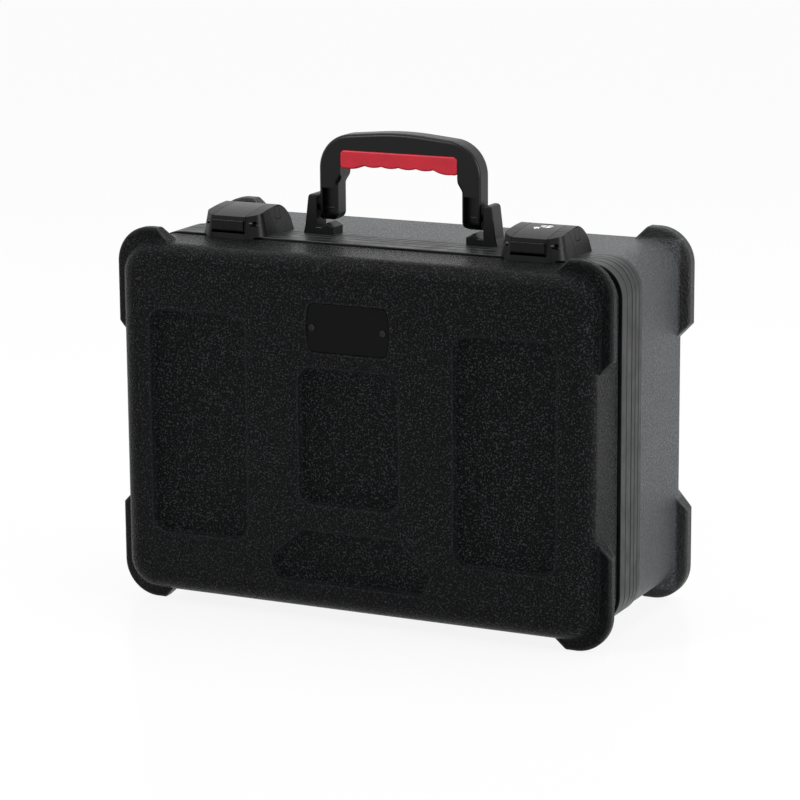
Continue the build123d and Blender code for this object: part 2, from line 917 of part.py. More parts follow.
def keeper(side):
    """Base part of the latch: rear cheeks, tail and the seats of the strike pin."""
    body = latch_block()
    body -= split_tool(-latch_split_gap / 2)
    half = lever_width / 2 + lever_side_gap
    floor = z_band_top + 1.5
    body -= block(-half, half, y_nose, y_lever_end + lever_side_gap, floor, z_top + 2 * latch_height)
    body -= latch_seat(y_nose, y_base_rim)
    bore = strike_radius + pin_gap
    body -= rod((-half - 5, y_strike, z_strike), (1, 0, 0), bore, 2 * half + 10)
    for end in (-1, 1):
        body -= side_panel(end)
    body = Pos(side * latch_offset, 0, 0) * body
    for x, y in keeper_rivet_points():
        body -= rod((x, y, z_top - 1), (0, 0, 1), rivet_radius + hole_gap, rivet_bite + 2)
    return body


def side_panel(end):
    """Shallow outline of a square patch on the keeper's cheek."""
    frame = Rectangle(patch_width + 2 * patch_line, patch_height + 2 * patch_line)
    frame -= Rectangle(patch_width, patch_height)
    panel = side_slab(Pos(y_seam + patch_behind, z_top + patch_rise) * frame, 0, latch_width / 2)
    low_rise = patch_rise - patch_height / 2 - patch_line
    keep = latch_width / 2 - low_rise * tan(radians(latch_taper)) - patch_depth
    if end > 0:
        return panel & block(keep, latch_width, y_seam, y_latch_rear, z_top, z_top + 2 * latch_height)
    mirrored_panel = mirror(panel, about=Plane.YZ)
    return mirrored_panel & block(-latch_width, -keep, y_seam, y_latch_rear, z_top,
                                  z_top + 2 * latch_height)


def lever(side):
    """Lever: nose block at the pivot, thin top over a hollow for the claw."""
    half = lever_width / 2
    nose_y = y_nose + cover_thickness
    low = z_top + lever_nose_rise
    whole = latch_block() & block(-half, half, nose_y, y_lever_end, low, z_top + 2 * latch_height)
    belly = [
        (y_pivot + lever_belly_start, low - 1),
        (y_pivot + lever_belly_back, z_pivot - lever_belly_drop),
        (y_lever_end + 1, z_top + lever_belly_rise),
        (y_lever_end + 1, low - 1),
    ]
    body = whole - side_slab(make_face(Polyline(belly, close=True)), -half - 1, half + 1)
    inside = claw_width / 2 + lever_hollow_gap
    hollow = latch_profile(lever_thickness)
    hollow = side_slab(hollow, -inside, inside)
    hollow &= block(-inside, inside, y_pivot + lever_hollow_start, y_lever_end - lever_rear_wall,
                    low, z_top + 2 * latch_height)
    body -= hollow
    bore = lever_pin_radius + pin_gap
    body -= rod((-half - 1, y_pivot, z_pivot), (1, 0, 0), bore, lever_width + 2)
    bore = claw_pin_radius + hole_gap
    body -= rod((-half - 1, y_claw_pin, z_claw_pin), (1, 0, 0), bore, lever_width + 2)
    if side > 0:
        body -= rod((lock_aside, y_lock, z_top + lock_floor), (0, 0, 1), lock_body_radius + lock_gap,
                    latch_height)
        body -= lock_recess()
        body -= indicator_hole()
    return Pos(side * latch_offset, 0, 0) * body


def lever_cover(side):
    """Glossy strip on the lever's nose, where it is pressed."""
    half = lever_width / 2 - cover_inset
    low = z_top + lever_nose_rise + cover_rise
    strip = block(-half, half, y_nose, y_nose + cover_thickness, low, low + cover_height)
    strip = fillet(strip.edges().filter_by(Axis.X).sort_by(Axis.Y)[0:2], cover_round)
    return Pos(side * latch_offset, 0, 0) * strip


def lever_pin(side):
    """Pin that the lever turns on, held in both cheeks."""
    half = lever_width / 2 + lever_side_gap + 5.5
    pin = rod((-half, y_pivot, z_pivot), (1, 0, 0), lever_pin_radius, 2 * half)
    return Pos(side * latch_offset, 0, 0) * pin


def claw(side):
    """Two-armed claw whose tooth hangs over the strike pin."""
    half = claw_width / 2
    tooth_y = y_strike + strike_radius + claw_hook_gap
    under = z_claw_pin - claw_boss
    outline = [
        (y_claw_pin, under),
        (y_strike - strike_radius, z_tooth + claw_tooth_step),
        (tooth_y, z_tooth + claw_tooth_step),
        (tooth_y, z_tooth),
        (tooth_y + claw_tooth, z_tooth),
        (tooth_y + claw_tooth, z_tooth + claw_tooth_height),
        (y_claw_pin, z_claw_pin + claw_boss),
    ]
    body = side_slab(make_face(Polyline(outline, close=True)), -half, half)
    body += rod((-half, y_claw_pin, z_claw_pin), (1, 0, 0), claw_boss, claw_width)
    gap = half - claw_arm
    body -= block(-gap, gap, y_claw_pin - 2 * claw_boss, y_strike + claw_bridge,
                  z_top, z_top + 2 * latch_height)
    bore = claw_pin_radius + pin_gap
    body -= rod((-half - 1, y_claw_pin, z_claw_pin), (1, 0, 0), bore, claw_width + 2)
    return Pos(side * latch_offset, 0, 0) * body


def claw_pin(side):
    """Pin that carries the claw under the lever."""
    half = lever_width / 2 - 0.2
    pin = rod((-half, y_claw_pin, z_claw_pin), (1, 0, 0), claw_pin_radius, 2 * half)
    return Pos(side * latch_offset, 0, 0) * pin


def claw_spring(side):
    """Coil round the claw's pin, between its arms."""
    radius = claw_pin_radius + spring_wire / 2 + 0.25
    pitch = spring_wire * 1.6
    path = Helix(pitch, pitch * spring_turns, radius)
    start = Plane(origin=path @ 0, z_dir=path % 0)
    coil = sweep(start * Circle(spring_wire / 2), path=path, is_frenet=True)
    coil = Pos(-pitch * spring_turns / 2, y_claw_pin, z_claw_pin) * Rot(0, 90, 0) * coil
    return Pos(side * latch_offset, 0, 0) * coil


def strike_pin(side):
    """Bar across the keeper that the claw reaches over."""
    half = lever_width / 2 + lever_side_gap + 4.6
    pin = rod((-half, y_strike, z_strike), (1, 0, 0), strike_radius, 2 * half)
    return Pos(side * latch_offset, 0, 0) * pin


def housing_rivets():
    """Rivets from inside the channel up into the latch housings."""
    rivets = []
    for side in (-1, 1):
        for x, y in housing_rivet_points(side):
            seat = (x, y, z_top - band_skin)
            rivets.append(rivet(seat, (0, 0, 1), band_skin + band_proud + rivet_bite))
    return rivets


def keeper_rivets():
    """Rivets from inside the base shell up into the keepers."""
    rivets = []
    for x, y in keeper_rivet_points():
        seat = (x, y, z_top - tongue_inner)
        rivets.append(rivet(seat, (0, 0, 1), tongue_inner + rivet_bite))
    return rivets


# Lock in the right lever


y_lock = y_seam + lock_behind
lock_floor = latch_height - lock_body_length
z_lock_face = z_top + latch_height - lock_sink


def lock_recess():
    """Shallow seat for the lock's face in the lever's top."""
    low = z_lock_face - lock_face_thickness
    return rod((lock_aside, y_lock, low), (0, 0, 1), lock_face_radius + lock_gap, tool_margin)


def indicator_hole():
    """Seat of the plain round indicator."""
    y = y_seam - indicator_ahead
    low = z_top + latch_height - indicator_floor
    return rod((indicator_aside, y, low), (0, 0, 1), indicator_radius + lock_gap, 2 * tool_margin)


def lock_cylinder():
    """Lock plug with a plain face and a key slot."""
    centre = latch_offset + lock_aside
    seat = z_lock_face - lock_face_thickness
    face = rod((centre, y_lock, seat), (0, 0, 1), lock_face_radius, lock_face_thickness)
    face = chamfer(face.faces().sort_by(Axis.Z)[-1].edges(), lock_edge)
    low = z_top + lock_floor
    body = rod((centre, y_lock, low), (0, 0, 1), lock_body_radius, seat - low)
    slot = block(centre - key_slot_width / 2, centre + key_slot_width / 2,
                 y_lock - key_slot_length / 2, y_lock + key_slot_length / 2,
                 z_lock_face - key_slot_depth, z_lock_face + 1)
    return face + body - slot


def lock_cam():
    """Cam under the plug, which turns towards the claw's tooth."""
    centre = latch_offset + lock_aside
    low = z_top + lock_floor - cam_thickness
    cam = rod((centre, y_lock, low), (0, 0, 1), cam_width / 2, cam_thickness)
    cam += block(centre, centre + cam_length - cam_width / 2, y_lock - cam_width / 2,
                 y_lock + cam_width / 2, low, low + cam_thickness)
    return cam


def lock_indicator():
    """Plain disc beside the lock."""
    y = y_seam - indicator_ahead
    low = z_top + latch_height - indicator_floor
    disc = rod((latch_offset + indicator_aside, y, low), (0, 0, 1), indicator_radius, indicator_thickness)
    return fillet(disc.faces().sort_by(Axis.Z)[-1].edges(), lock_edge)


# Handle


y_handle = y_seam + handle_behind
z_handle_pivot = z_top + handle_pivot_rise


def handle_outline():
    """Front view of the handle: two legs, rounded shoulders and a crowned bar."""
    half = handle_half_width
    inner = half - handle_leg
    foot = z_handle_pivot - handle_foot_round
    knee = inner - handle_knee_inset
    corners = [
        (-inner, foot),
        (-half, foot),
        (-half, z_top + handle_shoulder),
        (0, z_top + handle_crown),
        (half, z_top + handle_shoulder),
        (half, foot),
        (inner, foot),
        (inner, z_top + handle_knee),
        (knee, z_top + handle_under),
        (-knee, z_top + handle_under),
        (-inner, z_top + handle_knee),
    ]
    shape = make_face(Polyline(corners, close=True))
    by_height = shape.vertices().sort_by(Axis.Y)
    shape = fillet(by_height[-1], handle_crown_round)
    by_height = shape.vertices().sort_by(Axis.Y)
    shoulders = [v for v in by_height if abs(abs(v.X) - half) < 0.01 and v.Y > z_top + handle_elbow]
    shape = fillet(shoulders, handle_shoulder_round)
    bends = [v for v in shape.vertices() if abs(v.X) < inner + 0.01 and z_top + handle_knee - 1 < v.Y
             and v.Y < z_top + handle_under + 1]
    shape = fillet(bends, handle_bend_round)
    feet = [v for v in shape.vertices() if abs(v.X) < inner + 0.01 and v.Y < foot + 0.01]
    return fillet(feet, handle_foot_corner)


def grip_outline():
    """Front view of the finger grip, with soft lobes along its underside."""
    half = grip_half_length
    bottom = z_top + handle_under
    top = bottom + grip_height - grip_top_drop
    ends = bottom - grip_end_drop
    lines = [
        Line((-half, ends), (-half, top)),
        Line((-half, top), (half, top)),
        Line((half, top), (half, ends)),
        Line((half, ends), (half - grip_end_width, ends)),
    ]
    step = 2 * (half - grip_end_width) / grip_lobes
    x = half - grip_end_width
    z = ends
    for index in range(grip_lobes):
        last = index == grip_lobes - 1
        next_x = x - step
        next_z = ends if last else bottom
        lobe = ((x + next_x) / 2, (z + next_z) / 2 - grip_lobe_depth)
        lines.append(ThreePointArc((x, z), lobe, (next_x, next_z)))
        x = next_x
        z = next_z
    lines.append(Line((x, ends), (-half, ends)))
    shape = make_face(Curve() + lines)
    cusps = [v for v in shape.vertices() if abs(v.Y - bottom) < fit_gap]
    shape = fillet(cusps, grip_cusp_round)
    ends_low = [v for v in shape.vertices() if abs(v.X) > half - fit_gap and v.Y < bottom]
    shape = fillet(ends_low, grip_end_round)
    return fillet(shape.vertices().sort_by(Axis.Y)[-2:], grip_corner)


def grip_pocket():
    """Space that the handle leaves for the grip."""
    gap = grip_wall_gap
    half = grip_half_length + gap
    low = z_top + handle_under - grip_pocket_drop
    high = z_top + handle_under + grip_height - grip_top_drop + gap
    shape = Pos(0, (low + high) / 2) * Rectangle(2 * half, high - low)
    return fillet(shape.vertices().sort_by(Axis.Y)[2:4], grip_corner + gap)


def handle_body():
    """Moulded handle."""
    low = y_handle - handle_thickness / 2
    high = y_handle + handle_thickness / 2
    body = slab(handle_outline(), low, high)
    body = fillet(end_edges(body, False) + end_edges(body, True), handle_round)
    reach = 2 * handle_half_width
    sole = z_handle_pivot - 2 * handle_foot_round
    below = block(-reach, reach, low - 1, high + 1, sole, z_handle_pivot)
    swept = handle_thickness / 2 + handle_sole_extra
    below -= side_slab(Pos(y_handle, z_handle_pivot) * Circle(swept), -2 * reach, 2 * reach)
    body -= below
    inner = handle_half_width - handle_leg
    cut = inner + pocket_inset
    for end in (-1, 1):
        xs = sorted((end * cut, end * (cut + pocket_width)))
        body -= block(xs[0], xs[1], low - 1, low + pocket_depth, z_top + pocket_bottom, z_top + pocket_top)
        depth = handle_pin_reach + handle_pin_end_gap
        body -= rod((end * reach, y_handle, z_handle_pivot), (-end, 0, 0),
                    handle_pin_radius + pin_gap, reach - handle_half_width + depth)
    return body - slab(grip_pocket(), low - 1, high + 1)


def handle_grip():
    """Soft finger grip under the bar."""
    low = y_handle - handle_thickness / 2 - grip_proud
    high = y_handle + handle_thickness / 2 + grip_proud
    grip = slab(grip_outline(), low, high)
    return fillet(end_edges(grip, False) + end_edges(grip, True), grip_round)


def handle_pin(side):
    """Pin from the bracket's post into the leg."""
    outer = handle_half_width + bracket_gap + bracket_top_width - handle_pin_inset
    length = outer - handle_half_width + handle_pin_reach
    return rod((side * outer, y_handle, z_handle_pivot), (-side, 0, 0), handle_pin_radius, length)


def bracket_screw_points():
    """Screws that hold the brackets, along X and Y."""
    y = y_seam + screw_behind
    points = []
    for side in (-1, 1):
        for x in (screw_inner, screw_outer):
            points.append((side * x, y))
    return points


def bracket(side):
    """Bracket with a leaning post outside the leg and a foot under it."""
    inside = handle_half_width + bracket_gap
    base = inside + bracket_base_width
    foot_top = z_band_top + bracket_foot_height
    outline = [
        (bracket_foot_reach, z_top),
        (bracket_foot_reach, foot_top),
        (bracket_foot_reach + bracket_lip_crest, foot_top + bracket_lip),
        (bracket_foot_reach + bracket_lip_end, foot_top),
        (inside, foot_top),
        (inside, z_top + bracket_top_rise),
        (inside + bracket_top_width, z_top + bracket_top_rise),
        (base - bracket_skirt_inset, z_top + bracket_skirt_rise),
        (base, z_top),
    ]
    low = y_handle - bracket_depth / 2
    body = slab(make_face(Polyline(outline, close=True)), low, low + bracket_depth)
    crown = body.edges().filter_by(Axis.Y).sort_by(Axis.Z)[-2:]
    body = fillet(crown, bracket_crown_round)
    body = fillet(end_edges(body, False) + end_edges(body, True), bracket_round)
    body -= block(0, case_width / 2, low - 1, y_base_rim, z_top - 1, z_band_top)
    body -= rod((inside - 1, y_handle, z_handle_pivot), (1, 0, 0),
                handle_pin_radius + hole_gap, bracket_top_width)
    body = body if side > 0 else mirrored(body)
    for x, y in bracket_screw_points():
        reach = 1 + screw_length_above(x) + screw_tip_gap
        body -= rod((x, y, z_top - 1), (0, 0, 1), screw_radius + hole_gap, reach)
    return body


def screw_length_above(x):
    """How far a bracket screw reaches above the shell: shorter under the foot."""
    return screw_bite if abs(x) > handle_half_width else bracket_foot_height - 1


def backing_plate():
    """Steel plate inside that spreads the handle's load."""
    top = z_top - tongue_inner
    y = y_seam + screw_behind
    half = screw_outer + backing_margin
    plate = block(-half, half, y - backing_margin, y + backing_margin, top - plate_stock, top)
    plate = fillet(plate.edges().filter_by(Axis.Z), backing_corner)
    for x, hole_y in bracket_screw_points():
        plate -= rod((x, hole_y, top - 5), (0, 0, 1), screw_radius + hole_gap, 9)
    return plate


def bracket_screws():
    """Screws from inside the shell up into the brackets."""
    screws = []
    seat = z_top - tongue_inner - plate_stock
    for x, y in bracket_screw_points():
        length = z_top - seat + screw_length_above(x)
        screw = rod((x, y, seat), (0, 0, 1), screw_radius, length)
        screw += rod((x, y, seat - screw_head), (0, 0, 1), screw_head_radius, screw_head)
        hexagon = RegularPolygon(screw_drive_radius, 6)
        drive = extrude(Pos(x, y, seat - screw_head) * hexagon, amount=screw_drive_depth)
        screws.append(screw - drive)
    return screws


# Foam


foam_inset = tongue_inner + foam_side_gap


def lid_foam():
    """Pad on the inside of the lid's front."""
    start = y_front + wall + recess_depth + foam_gap
    return case_slab(-foam_inset - wall, start, start + lid_foam_thickness)


def drop_points():
    """Middles of the drops for the microphones, along X and Z."""
    reach_x = case_width / 2 - foam_inset - drop_edge - drop_radius
    reach_z = case_height / 2 - foam_inset - drop_edge - drop_radius
    points = []
    for column in range(drop_columns):
        for row in range(drop_rows):
            x = -reach_x + column * 2 * reach_x / (drop_columns - 1)
            z = z_middle - reach_z + row * 2 * reach_z / (drop_rows - 1)
            points.append((x, z))
    return points


def foam_rear():
    """Depth where the foam block ends and the liner starts."""
    return y_rear - wall - foam_gap - liner_thickness


def base_foam():
    """Block with a round drop for each microphone, notched round the inside hardware."""
    front = y_seam + base_foam_front
    foam = case_slab(-foam_inset, front, foam_rear())
    foam -= hardware_notch(front)
    for x, z in drop_points():
        foam -= rod((x, front - 1, z), (0, 1, 0), drop_radius, drop_depth + 1)
    return foam


def hardware_notch(front):
    """Room in the foam for the screw heads, rivet heads and backing plate."""
    low = z_top - tongue_inner - plate_stock - screw_head - 1
    end = y_base_rim + tongue_length
    notch = block(-screw_outer - backing_margin - 1, screw_outer + backing_margin + 1,
                  front - 1, end, low, z_top)
    head = rivet_head + foam_gap
    inner = tongue_inner + head
    rim = case_slab(0, front - 1, end) - case_slab(-inner, front - 2, end + 1)
    return notch + rim


def foam_liner():
    """Thin sheet between the block and the shell's rear wall."""
    end = y_rear - wall - foam_gap
    return case_slab(-foam_inset - rear_fillet / 2, end - liner_thickness + foam_gap, end)


def write(name, shape):
    """Save one named piece, or a group of like pieces, as its own file."""
    solids = []
    for item in shape if isinstance(shape, list) else [shape]:
        solids += item.solids()
    piece = solids[0] if len(solids) == 1 else Compound(children=solids)
    piece.label = name
    export_step(piece, os.path.join("parts", name + ".step"))


def build():
    """Make every piece and write it."""
    os.makedirs("parts", exist_ok=True)
    write("lid_shell", lid_shell())
    write("base_shell", base_shell())
    write("name_plate", name_plate())
    write("name_plate_screws", name_plate_screws())
    write("lid_valance", lid_valance())
    write("base_valance", base_valance())
    write("gasket", gasket())
    write("lid_joiner", lid_joiner())
    write("base_joiner", base_joiner())
    write("lid_valance_rivets", band_rivets(y_lid_rim - tongue_length / 2)[0])
    write("base_valance_rivets", band_rivets(y_base_rim + tongue_length / 2)[0])
    write("hinge_rivets_lid", hinge_rivets(-1))
    write("hinge_rivets_base", hinge_rivets(1))
    write("latch_rivets_lid", housing_rivets())
    write("latch_rivets_base", keeper_rivets())
    for name, side in (("left", -1), ("right", 1)):
        centre = side * hinge_offset
        write("hinge_leaf_lid_" + name, hinge_leaf(-1, centre))
        write("hinge_leaf_base_" + name, hinge_leaf(1, centre))
        write("hinge_pin_" + name, hinge_pin(centre))
        write("latch_housing_" + name, latch_housing(side))
        write("keeper_" + name, keeper(side))
        write("strike_pin_" + name, strike_pin(side))
        write("lever_" + name, lever(side))
        write("lever_cover_" + name, lever_cover(side))
        write("lever_pin_" + name, lever_pin(side))
        write("claw_" + name, claw(side))
        write("claw_pin_" + name, claw_pin(side))
        write("claw_spring_" + name, claw_spring(side))
        write("handle_bracket_" + name, bracket(side))
        write("handle_pin_" + name, handle_pin(side))
    write("lock_cylinder", lock_cylinder())
    write("lock_cam", lock_cam())
    write("lock_indicator", lock_indicator())
    write("handle_body", handle_body())
    write("handle_grip", handle_grip())
    write("bracket_screws", bracket_screws())
    write("backing_plate", backing_plate())
    write("lid_foam", lid_foam())
    write("base_foam", base_foam())
    write("foam_liner", foam_liner())


build()
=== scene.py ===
import json
from math import cos, pi, radians, sin, tau

import bmesh
import bpy
from mathutils import Matrix, Vector, noise


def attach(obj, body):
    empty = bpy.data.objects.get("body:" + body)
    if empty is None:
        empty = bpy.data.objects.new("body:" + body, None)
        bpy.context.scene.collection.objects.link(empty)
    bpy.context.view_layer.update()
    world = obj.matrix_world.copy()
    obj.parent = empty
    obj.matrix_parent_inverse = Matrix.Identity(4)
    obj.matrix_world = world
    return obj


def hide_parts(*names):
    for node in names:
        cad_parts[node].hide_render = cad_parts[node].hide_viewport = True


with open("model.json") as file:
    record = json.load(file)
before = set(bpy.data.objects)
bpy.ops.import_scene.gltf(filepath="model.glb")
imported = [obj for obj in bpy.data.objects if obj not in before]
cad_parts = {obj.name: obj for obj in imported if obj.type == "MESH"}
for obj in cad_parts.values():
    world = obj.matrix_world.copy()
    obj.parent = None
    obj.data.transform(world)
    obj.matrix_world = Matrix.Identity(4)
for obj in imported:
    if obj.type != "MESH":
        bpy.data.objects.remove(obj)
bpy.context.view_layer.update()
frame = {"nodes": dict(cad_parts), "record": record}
nodes = frame["nodes"]
slot_of = {row["node"]: row["material_slot"] for row in frame["record"]["subparts"]}

# The shells' planes that the materials and the foam pieces follow, in metres
CASE_HALF_WIDTH = 0.2172
CASE_LOW = 0.0108
CASE_HIGH = 0.3142
CASE_MIDDLE = (CASE_LOW + CASE_HIGH) / 2
BUMPER_START = 0.0014

# Camera
CAMERA_PLACE = Vector((1.1784, -2.4367, 0.78265))
CAMERA_AZIMUTH = radians(25.86)
CAMERA_ELEVATION = radians(12.65)
CAMERA_ROLL = radians(-0.40)
CAMERA_LENS = 145.9
CAMERA_SENSOR = 36.0


def make_camera():
    """Camera at the photograph's viewing angle."""
    az, el, roll = CAMERA_AZIMUTH, CAMERA_ELEVATION, CAMERA_ROLL
    back = Vector((sin(az) * cos(el), -cos(az) * cos(el), sin(el)))
    right = Vector((cos(az), sin(az), 0))
    up = back.cross(right)
    turned_right = cos(roll) * right + sin(roll) * up
    turned_up = -sin(roll) * right + cos(roll) * up
    data = bpy.data.cameras.new("camera")
    data.lens = CAMERA_LENS
    data.sensor_width = CAMERA_SENSOR
    data.clip_end = 100
    camera = bpy.data.objects.new("camera", data)
    bpy.context.scene.collection.objects.link(camera)
    turn = Matrix((turned_right, turned_up, back)).transposed()
    camera.matrix_world = Matrix.Translation(CAMERA_PLACE) @ turn.to_4x4()
    bpy.context.scene.camera = camera


# Light, world and floor

WORLD_FILL = 0.42
FLOOR_SIZE = 60
FLOOR_GLOW = 0.88


def area_light(name, place, aim, size, power):
    """Soft studio lamp pointed at a place."""
    data = bpy.data.lights.new(name, "AREA")
    data.shape = "RECTANGLE"
    data.size, data.size_y = size
    data.energy = power
    lamp = bpy.data.objects.new(name, data)
    bpy.context.scene.collection.objects.link(lamp)
    lamp.location = place
    lamp.rotation_euler = (Vector(aim) - Vector(place)).to_track_quat("-Z", "Y").to_euler()


def seen_directly(tree):
    """Socket that is 1 for rays that show the background."""
    path = tree.nodes.new("ShaderNodeLightPath")
    total = path.outputs["Is Camera Ray"]
    for name in ("Is Glossy Ray", "Is Transmission Ray"):
        add = tree.nodes.new("ShaderNodeMath")
        add.operation = "ADD"
        add.use_clamp = True
        tree.links.new(total, add.inputs[0])
        tree.links.new(path.outputs[name], add.inputs[1])
        total = add.outputs[0]
    return total


def make_world():
    """White where it is seen and a plain soft fill elsewhere."""
    world = bpy.data.worlds.new("world")
    bpy.context.scene.world = world
    world.use_nodes = True
    tree = world.node_tree
    background = tree.nodes["Background"]
    background.inputs["Color"].default_value = (1, 1, 1, 1)
    level = tree.nodes.new("ShaderNodeMapRange")
    level.inputs["To Min"].default_value = WORLD_FILL
    level.inputs["To Max"].default_value = 1
    tree.links.new(seen_directly(tree), level.inputs["Value"])
    tree.links.new(level.outputs["Result"], background.inputs["Strength"])


def make_floor():
    """Plain white floor that keeps a soft shadow and a faint reflection."""
    mesh = bpy.data.meshes.new("floor")
    half = FLOOR_SIZE / 2
    corners = [(-half, -half, 0), (half, -half, 0), (half, half, 0), (-half, half, 0)]
    mesh.from_pydata(corners, [], [(0, 1, 2, 3)])
    floor = bpy.data.objects.new("floor", mesh)
    bpy.context.scene.collection.objects.link(floor)
    floor.location.z = -0.0002
    paint = bpy.data.materials.new("floor")
    paint.use_nodes = True
    tree = paint.node_tree
    shader = tree.nodes["Principled BSDF"]
    shader.inputs["Base Color"].default_value = (0.9, 0.9, 0.9, 1)
    shader.inputs["Roughness"].default_value = 0.16
    shader.inputs["Specular IOR Level"].default_value = 0.5
    glow = tree.nodes.new("ShaderNodeEmission")
    glow.inputs["Color"].default_value = (1, 1, 1, 1)
    glow.inputs["Strength"].default_value = 1
    share = tree.nodes.new("ShaderNodeMapRange")
    share.inputs["To Min"].default_value = 0
    share.inputs["To Max"].default_value = FLOOR_GLOW
    mix = tree.nodes.new("ShaderNodeMixShader")
    tree.links.new(seen_directly(tree), share.inputs["Value"])
    tree.links.new(share.outputs["Result"], mix.inputs["Fac"])
    tree.links.new(shader.outputs["BSDF"], mix.inputs[1])
    tree.links.new(glow.outputs["Emission"], mix.inputs[2])
    tree.links.new(mix.outputs["Shader"], tree.nodes["Material Output"].inputs["Surface"])
    mesh.materials.append(paint)


# Materials

# Edge mask: rays for each point, and the agreement of normals where it starts and is full
EDGE_SAMPLES = 4
EDGE_FROM = 0.995
EDGE_FULL = 0.92
SHELL_EDGE = 0.0035
BAND_EDGE = 0.0010

# Painted glints on the shells' pebble tips, painted highlights on their edges, and colour drift
PAINTED_GLINT_FROM = 0.55
PAINTED_GLINT_FULL = 0.68
BUMPER_GLINT_GAIN = 7.0
# share of the painted highlight on the shells' rounded edges and recess rims
SHELL_EDGE_HIGHLIGHT_SHARE = 0.5
SHELL_DRIFT = 0.16
SATIN_DRIFT = 0.14

# painted highlight on the bumpers' rounded edges
BUMPER_EDGE_HIGHLIGHT = (0.062, 0.065, 0.068)
BUMPER_BLACK = (0.0014, 0.0015, 0.0016)
BASE_BUMPER_BLACK = (0.0022, 0.0023, 0.0026)
LID_BLACK = (0.0010, 0.0011, 0.0012)
BASE_GREY = (0.036, 0.039, 0.042)
BAND_DARK = (0.0030, 0.0033, 0.0037)
BAND_LIGHT = (0.0095, 0.0102, 0.0112)
# painted highlight on the band's rib edges
BAND_EDGE_HIGHLIGHT = (0.062, 0.065, 0.069)
GRIP_RED = (0.62, 0.006, 0.026)
GRIP_RUBBED = (0.52, 0.005, 0.021)
FOAM_DARK = (0.030, 0.030, 0.032)
FOAM_WALL = (0.072, 0.072, 0.076)


class Paint:
    """Builds one node material step by step."""

    def __init__(self, name, roughness, metallic=0.0, specular=0.5, sheen=0.0):
        self.material = bpy.data.materials.new(name)
        self.material.use_nodes = True
        self.tree = self.material.node_tree
        self.shader = self.tree.nodes["Principled BSDF"]
        self.shader.inputs["Roughness"].default_value = roughness
        self.shader.inputs["Metallic"].default_value = metallic
        self.shader.inputs["Specular IOR Level"].default_value = specular
        self.shader.inputs["Sheen Weight"].default_value = sheen
        self.place = self.tree.nodes.new("ShaderNodeTexCoord").outputs["Object"]

    def stretched(self, scale):
        """Object coordinates stretched for brushed or extruded marks."""
        mapping = self.tree.nodes.new("ShaderNodeMapping")
        mapping.inputs["Scale"].default_value = scale
        self.tree.links.new(self.place, mapping.inputs["Vector"])
        return mapping.outputs["Vector"]

    def noise(self, scale, detail=2.0, place=None):
        """Value of a noise texture, about 0.5 on average."""
        node = self.tree.nodes.new("ShaderNodeTexNoise")
        node.inputs["Scale"].default_value = scale
        node.inputs["Detail"].default_value = detail
        self.tree.links.new(place or self.place, node.inputs["Vector"])
        return node.outputs["Fac"]

    def cells(self, scale):
        """Distance inside rounded cells."""
        node = self.tree.nodes.new("ShaderNodeTexVoronoi")
        node.feature = "SMOOTH_F1"
        node.inputs["Scale"].default_value = scale
        self.tree.links.new(self.place, node.inputs["Vector"])
        return node.outputs["Distance"]

    def ranged(self, value, low, high, to_low, to_high):
        """A value moved from one range to another."""
        node = self.tree.nodes.new("ShaderNodeMapRange")
        for name, number in (("From Min", low), ("From Max", high), ("To Min", to_low), ("To Max", to_high)):
            node.inputs[name].default_value = number
        self.tree.links.new(value, node.inputs["Value"])
        return node.outputs["Result"]

    def math(self, kind, first, second):
        """One math step between sockets or numbers."""
        node = self.tree.nodes.new("ShaderNodeMath")
        node.operation = kind
        for socket, value in zip(node.inputs, (first, second)):
            if isinstance(value, (int, float)):
                socket.default_value = value
            else:
                self.tree.links.new(value, socket)
        return node.outputs[0]

    def blend(self, share, first, second):
        """Colour between two colours or sockets."""
        node = self.tree.nodes.new("ShaderNodeMix")
        node.data_type = "RGBA"
        self.tree.links.new(share, node.inputs["Factor"])
        for socket, value in ((node.inputs[6], first), (node.inputs[7], second)):
            if isinstance(value, tuple):
                socket.default_value = (*value, 1)
            else:
                self.tree.links.new(value, socket)
        return node.outputs[2]

    def colour(self, value):
        self.tree.links.new(value, self.shader.inputs["Base Color"])

    def roughness(self, value):
        self.tree.links.new(value, self.shader.inputs["Roughness"])

    def bump(self, height, distance, strength):
        """Surface relief of a real height."""
        node = self.tree.nodes.new("ShaderNodeBump")
        node.inputs["Distance"].default_value = distance
        node.inputs["Strength"].default_value = strength
        self.tree.links.new(height, node.inputs["Height"])
        self.tree.links.new(node.outputs["Normal"], self.shader.inputs["Normal"])

    def edges(self, radius):
        """1 along sharp and tightly rounded edges, 0 on open surface."""
        bevel = self.tree.nodes.new("ShaderNodeBevel")
        bevel.samples = EDGE_SAMPLES
        bevel.inputs["Radius"].default_value = radius
        surface = self.tree.nodes.new("ShaderNodeNewGeometry")
        across = self.tree.nodes.new("ShaderNodeVectorMath")
        across.operation = "DOT_PRODUCT"
        self.tree.links.new(bevel.outputs["Normal"], across.inputs[0])
        self.tree.links.new(surface.outputs["Normal"], across.inputs[1])
        return self.ranged(across.outputs["Value"], EDGE_FROM, EDGE_FULL, 0, 1)

    def axis(self, index):
        """One object coordinate."""
        node = self.tree.nodes.new("ShaderNodeSeparateXYZ")
        self.tree.links.new(self.place, node.inputs[0])
        return node.outputs[index]


def tinted(colour, factor):
    return tuple(channel * factor for channel in colour)


def varied(paint, colour, amount, scale=14.0):
    """Slow, small colour drift over a surface."""
    share = paint.ranged(paint.noise(scale, 4.0), 0.3, 0.7, 0, 1)
    return paint.blend(share, tinted(colour, 1 - amount), tinted(colour, 1 + amount))


